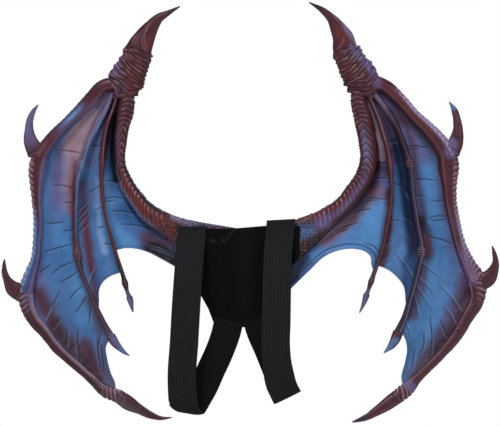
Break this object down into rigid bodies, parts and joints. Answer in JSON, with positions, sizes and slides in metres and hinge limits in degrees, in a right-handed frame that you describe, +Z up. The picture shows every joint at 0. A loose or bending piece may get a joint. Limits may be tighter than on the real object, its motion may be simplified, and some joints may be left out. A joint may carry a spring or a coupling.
{
  "type": "costume dragon wings",
  "caption": "Pair of moulded foam dragon wings with clawed leading edges and membranes, on a cloth back panel with elastic arm loops.",
  "frame": {"origin": "middle of the back panel's front face, which lies on the wearer's back", "axes": "+X to the viewer's right across the wings, +Y away from the wearer's back, +Z up"},
  "size_m": [0.8829, 0.1195, 0.7409],
  "materials": {
    "maroon_foam": "painted moulded foam, glossy",
    "claw_foam": "painted moulded foam, darker and glossier towards the tips",
    "blue_membrane": "airbrushed foam skin, blue over maroon, satin",
    "black_cloth": "matt black cloth",
    "elastic_webbing": "ribbed black elastic webbing"
  },
  "bodies": {
    "root": {"left_thumb_horn": "maroon_foam", "left_wrist_wrap": "maroon_foam", "left_arm": "maroon_foam", "left_upper_spar": "maroon_foam", "left_outer_spar": "maroon_foam", "left_lower_spar": "maroon_foam", "left_tip_claw": "claw_foam", "left_upper_claw": "claw_foam", "left_lower_claw": "claw_foam", "left_middle_finger": "maroon_foam", "left_middle_claw": "claw_foam", "left_inner_finger": "maroon_foam", "left_inner_claw": "claw_foam", "left_outer_panel": "blue_membrane", "left_middle_panel": "blue_membrane", "left_inner_panel": "blue_membrane", "left_root_plate": "maroon_foam", "right_thumb_horn": "maroon_foam", "right_wrist_wrap": "maroon_foam", "right_arm": "maroon_foam", "right_upper_spar": "maroon_foam", "right_outer_spar": "maroon_foam", "right_lower_spar": "maroon_foam", "right_tip_claw": "claw_foam", "right_upper_claw": "claw_foam", "right_lower_claw": "claw_foam", "right_middle_finger": "maroon_foam", "right_middle_claw": "claw_foam", "right_inner_finger": "maroon_foam", "right_inner_claw": "claw_foam", "right_outer_panel": "blue_membrane", "right_middle_panel": "blue_membrane", "right_inner_panel": "blue_membrane", "right_root_plate": "maroon_foam", "back_panel": "black_cloth", "left_strap": "elastic_webbing", "right_strap": "elastic_webbing"}
  },
  "joints": []
}
